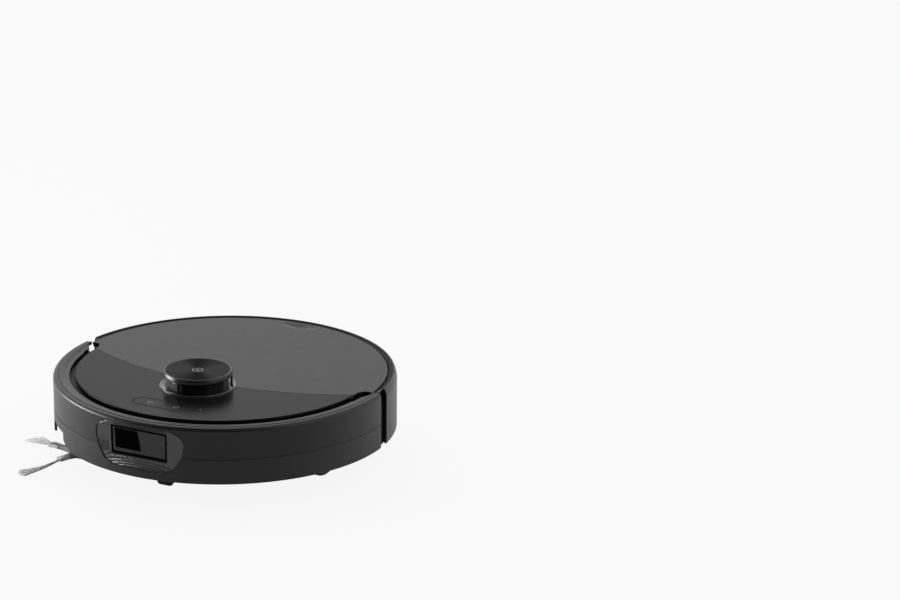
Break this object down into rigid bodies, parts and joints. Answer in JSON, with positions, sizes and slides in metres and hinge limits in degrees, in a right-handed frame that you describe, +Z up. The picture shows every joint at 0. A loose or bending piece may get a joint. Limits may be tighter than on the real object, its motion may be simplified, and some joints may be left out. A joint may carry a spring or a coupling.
{
  "type": "robot vacuum",
  "caption": "Low round robot vacuum and mop with a spinning laser turret, push-in bumper, lift-off rear cover, dustbin, swing-out side brush and spinning mop pads.",
  "frame": {"origin": "on the axis of the round body, at the floor on which wheels, caster and mop pads stand", "axes": "+Z up; the bumper and its window face -Y; the water inlet and charging contacts face +Y; the side brush is on the -X side"},
  "size_m": [0.3759, 0.3578, 0.1026],
  "materials": {
    "battery_wrap": "shrink wrap",
    "bin_handle": "satin",
    "bin_lid": "satin",
    "bin_plastic": "smoke tinted",
    "black_glass": "polished black",
    "board": "solder mask",
    "bristle": "nylon bristle",
    "brush_rubber": "matt",
    "caster_plastic": "smooth",
    "dark_metallic": "satin metallic",
    "fan_plastic": "moulded",
    "filter_paper": "pleated paper",
    "hub_plastic": "moulded",
    "inner_plastic": "moulded",
    "key_plastic": "satin",
    "mop_fabric": "looped pile",
    "plate_plastic": "moulded",
    "ring_gloss": "polished dark",
    "roller_rubber": "soft blades",
    "rotor_plastic": "satin",
    "rubber": "matt",
    "satin_cover": "satin",
    "satin_plate": "satin",
    "satin_shell": "satin, very fine grain",
    "sensor_lens": "polished, dark",
    "spun_cap": "dark, turned",
    "steel": "plain",
    "tank_plastic": "translucent",
    "textured_shell": "fine speckled grain",
    "tyre_rubber": "cross bars",
    "underside_plastic": "fine texture"
  },
  "bodies": {
    "chassis": {"chassis_tray": "underside_plastic", "frame_wall": "inner_plastic", "deck": "inner_plastic", "bays": "inner_plastic", "rear_shell": "satin_shell", "front_plate": "satin_plate", "turret_base_ring": "ring_gloss", "button_bezel": "key_plastic", "battery_pack": "battery_wrap", "circuit_board": "board", "speaker": "inner_plastic", "obstacle_camera": "sensor_lens", "intake_seal": "rubber", "fan_housing": "inner_plastic", "water_tank": "tank_plastic", "tank_cap": "rubber", "water_inlet": "inner_plastic", "charging_contacts": "steel", "bearings": "steel", "brush_guard": "underside_plastic", "screws": "steel", "cliff_sensors": "sensor_lens", "lidar_motor": "steel", "lidar_belt": "rubber"},
    "bumper": {"bumper_shell": "satin_shell", "bumper_skirt": "textured_shell", "window_bezel": "dark_metallic", "window_glass": "black_glass"},
    "cap": {"turret_cap": "spun_cap", "turret_pillars": "inner_plastic"},
    "rotor": {"lidar_rotor": "rotor_plastic", "lidar_lens": "sensor_lens"},
    "motor_pulley": {"lidar_motor_pulley": "fan_plastic"},
    "power_button": {"power_key": "key_plastic"},
    "dock_button": {"dock_key": "key_plastic"},
    "cover": {"rear_cover": "satin_cover"},
    "dustbin": {"dustbin_box": "bin_plastic", "dustbin_lid": "bin_lid", "dustbin_handle": "bin_handle", "dustbin_filter": "filter_paper"},
    "fan": {"fan_impeller": "fan_plastic"},
    "left_suspension": {"left_wheel_arm": "inner_plastic"},
    "left_wheel": {"left_wheel_hub": "hub_plastic", "left_wheel_tyre": "tyre_rubber"},
    "right_suspension": {"right_wheel_arm": "inner_plastic"},
    "right_wheel": {"right_wheel_hub": "hub_plastic", "right_wheel_tyre": "tyre_rubber"},
    "left_roller": {"left_main_brush": "roller_rubber"},
    "right_roller": {"right_main_brush": "roller_rubber"},
    "caster": {"caster_fork": "inner_plastic"},
    "caster_roller": {"caster_wheel": "caster_plastic"},
    "brush_arm": {"side_brush_arm": "inner_plastic"},
    "side_brush": {"side_brush_hub": "brush_rubber", "side_brush_bristles": "bristle"},
    "mop_lift": {"mop_bracket": "inner_plastic"},
    "mop_arm": {"mop_swing_arm": "inner_plastic"},
    "left_mop": {"left_mop_plate": "plate_plastic", "left_mop_pad": "mop_fabric"},
    "right_mop": {"right_mop_plate": "plate_plastic", "right_mop_pad": "mop_fabric"}
  },
  "joints": [
    {"name": "bumper_press", "type": "slide", "parent": "chassis", "child": "bumper", "axis": [0, 1, 0], "range_m": [0, 0.003], "stiffness_N_per_m": 600, "springref_m": -0.003},
    {"name": "cap_press", "type": "slide", "parent": "chassis", "child": "cap", "axis": [0, 0, -1], "range_m": [0, 0.0015], "stiffness_N_per_m": 600, "springref_m": -0.001},
    {"name": "power_key_press", "type": "slide", "parent": "chassis", "child": "power_button", "axis": [0, 0, -1], "range_m": [0, 0.0006], "stiffness_N_per_m": 500, "springref_m": -0.0006},
    {"name": "dock_key_press", "type": "slide", "parent": "chassis", "child": "dock_button", "axis": [0, 0, -1], "range_m": [0, 0.0006], "stiffness_N_per_m": 500, "springref_m": -0.0006},
    {"name": "rotor_spin", "type": "hinge", "parent": "chassis", "child": "rotor", "pos_m": [0, -0.0549, 0.09], "axis": [0, 0, 1], "continuous": true},
    {"name": "motor_pulley_spin", "type": "hinge", "parent": "chassis", "child": "motor_pulley", "pos_m": [0.038, -0.071, 0.074], "axis": [0, 0, 1], "continuous": true},
    {"name": "cover_lift", "type": "slide", "parent": "chassis", "child": "cover", "axis": [0, 0, 1], "range_m": [0, 0.12]},
    {"name": "dustbin_lift", "type": "slide", "parent": "chassis", "child": "dustbin", "axis": [0, 0, 1], "range_m": [0, 0.06]},
    {"name": "fan_spin", "type": "hinge", "parent": "chassis", "child": "fan", "pos_m": [0.098, 0.062, 0.06], "axis": [0, 0, 1], "continuous": true},
    {"name": "left_wheel_drop", "type": "hinge", "parent": "chassis", "child": "left_suspension", "pos_m": [0.096, 0.024, 0.038], "axis": [1, 0, 0], "range_deg": [0, 25], "stiffness_Nm_per_rad": 0.15, "springref_deg": 51.57},
    {"name": "left_wheel_spin", "type": "hinge", "parent": "left_suspension", "child": "left_wheel", "pos_m": [0.116, -0.018, 0.034], "axis": [1, 0, 0], "continuous": true},
    {"name": "right_wheel_drop", "type": "hinge", "parent": "chassis", "child": "right_suspension", "pos_m": [-0.096, 0.024, 0.038], "axis": [1, 0, 0], "range_deg": [0, 25], "stiffness_Nm_per_rad": 0.15, "springref_deg": 51.57},
    {"name": "right_wheel_spin", "type": "hinge", "parent": "right_suspension", "child": "right_wheel", "pos_m": [-0.116, -0.018, 0.034], "axis": [1, 0, 0], "continuous": true},
    {"name": "left_roller_spin", "type": "hinge", "parent": "chassis", "child": "left_roller", "pos_m": [0.04, -0.022, 0.0235], "axis": [1, 0, 0], "continuous": true},
    {"name": "right_roller_spin", "type": "hinge", "parent": "chassis", "child": "right_roller", "pos_m": [-0.04, -0.022, 0.0235], "axis": [1, 0, 0], "continuous": true},
    {"name": "caster_swivel", "type": "hinge", "parent": "chassis", "child": "caster", "pos_m": [0, -0.127, 0.02], "axis": [0, 0, 1], "continuous": true},
    {"name": "caster_roll", "type": "hinge", "parent": "caster", "child": "caster_roller", "pos_m": [0, -0.1187, 0.0085], "axis": [1, 0, 0], "continuous": true},
    {"name": "brush_arm_swing", "type": "hinge", "parent": "chassis", "child": "brush_arm", "pos_m": [-0.075, -0.12, 0.025], "axis": [0, 0, -1], "range_deg": [0, 28]},
    {"name": "side_brush_spin", "type": "hinge", "parent": "brush_arm", "child": "side_brush", "pos_m": [-0.112, -0.098, 0.008], "axis": [0, 0, 1], "continuous": true, "deforming": ["side_brush_bristles"]},
    {"name": "mop_raise", "type": "slide", "parent": "chassis", "child": "mop_lift", "axis": [0, 0, 1], "range_m": [0, 0.01]},
    {"name": "mop_swing", "type": "hinge", "parent": "mop_lift", "child": "mop_arm", "pos_m": [-0.031, 0.111, 0.018], "axis": [0, 0, -1], "range_deg": [0, 25]},
    {"name": "left_mop_spin", "type": "hinge", "parent": "mop_lift", "child": "left_mop", "pos_m": [0.066, 0.084, 0.008], "axis": [0, 0, 1], "continuous": true},
    {"name": "right_mop_spin", "type": "hinge", "parent": "mop_arm", "child": "right_mop", "pos_m": [-0.066, 0.084, 0.008], "axis": [0, 0, 1], "continuous": true}
  ],
  "couplings": [
    {"joint": "motor_pulley_spin", "follows": "rotor_spin", "ratio": 4},
    {"joint": "dustbin_lift", "follows": "cover_lift", "ratio": 0.5},
    {"joint": "right_roller_spin", "follows": "left_roller_spin", "ratio": 1},
    {"joint": "right_mop_spin", "follows": "left_mop_spin", "ratio": -1}
  ]
}
